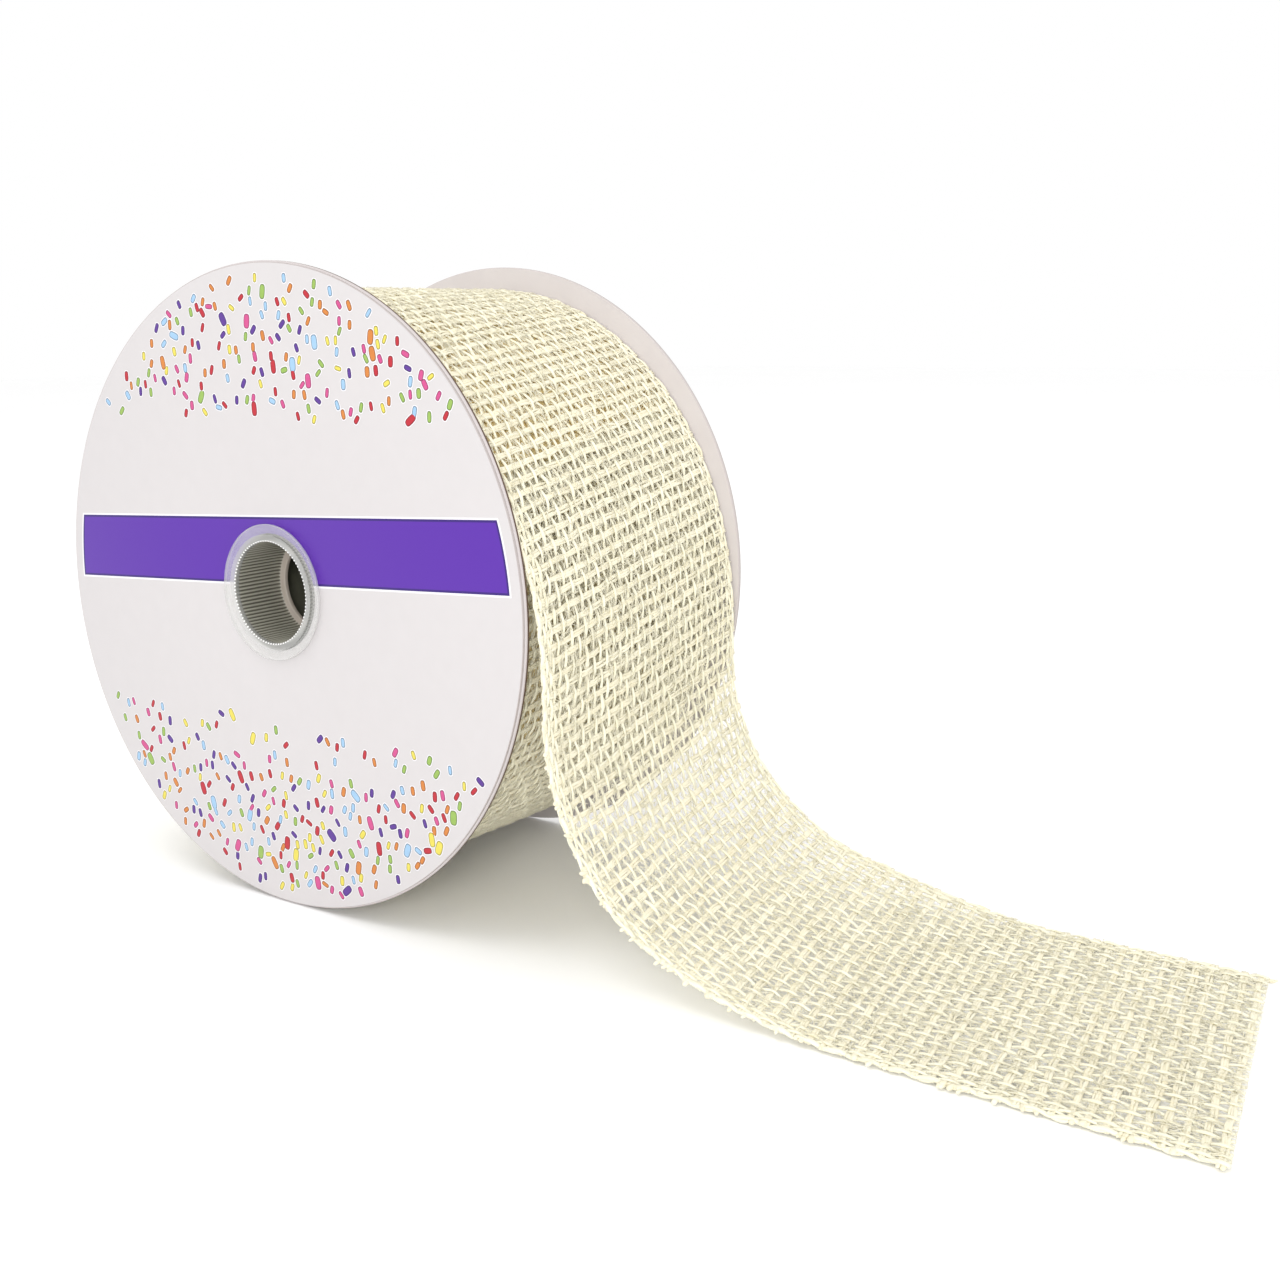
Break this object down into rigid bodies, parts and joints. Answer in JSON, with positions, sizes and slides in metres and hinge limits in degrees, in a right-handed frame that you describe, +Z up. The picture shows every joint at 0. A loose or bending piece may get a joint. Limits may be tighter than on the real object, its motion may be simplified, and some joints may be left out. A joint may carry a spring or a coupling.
{
  "type": "ribbon spool",
  "caption": "Flanged paperboard spool wound with open-weave burlap ribbon, its free end drawn off onto the table and able to lift.",
  "frame": {"origin": "middle of the base, on the surface the spool stands on", "axes": "+X along the drawn-off ribbon, +Y along the spool's axis from the printed flange to the plain one, +Z up"},
  "size_m": [0.2336, 0.0682, 0.12],
  "materials": {
    "flange_board": "off-white lined paperboard, matt",
    "label_paper": "printed coated paper, satin",
    "hub_plastic": "milky translucent moulding, satin",
    "core_board": "wound grey-brown board, matt",
    "tape": "buff tape, satin",
    "burlap": "open-weave ivory jute, rough"
  },
  "bodies": {
    "ribbon": {"ribbon_last_turn": "burlap", "ribbon_takeoff": "burlap"},
    "spool": {"front_flange": "flange_board", "rear_flange": "flange_board", "front_label": "label_paper", "front_hub_plug": "hub_plastic", "rear_hub_plug": "hub_plastic", "core_tube": "core_board", "core_tape": "tape", "ribbon_roll": "burlap"},
    "tail": {"ribbon_tail": "burlap"},
    "tail_tip": {"ribbon_end": "burlap"}
  },
  "joints": [
    {"name": "spool_spin", "type": "hinge", "parent": "ribbon", "child": "spool", "pos_m": [-0.0568, 0, 0.06], "axis": [0, 1, 0], "continuous": true},
    {"name": "tail_lift", "type": "hinge", "parent": "ribbon", "child": "tail", "pos_m": [0.03932, 0, 0.00484], "axis": [0, -1, 0], "range_deg": [0, 50]},
    {"name": "tail_curl", "type": "hinge", "parent": "tail", "child": "tail_tip", "pos_m": [0.0742, 0, 0.001], "axis": [0, -1, 0], "range_deg": [0, 35]}
  ],
  "couplings": [
    {"joint": "tail_curl", "follows": "tail_lift", "ratio": 0.7}
  ]
}
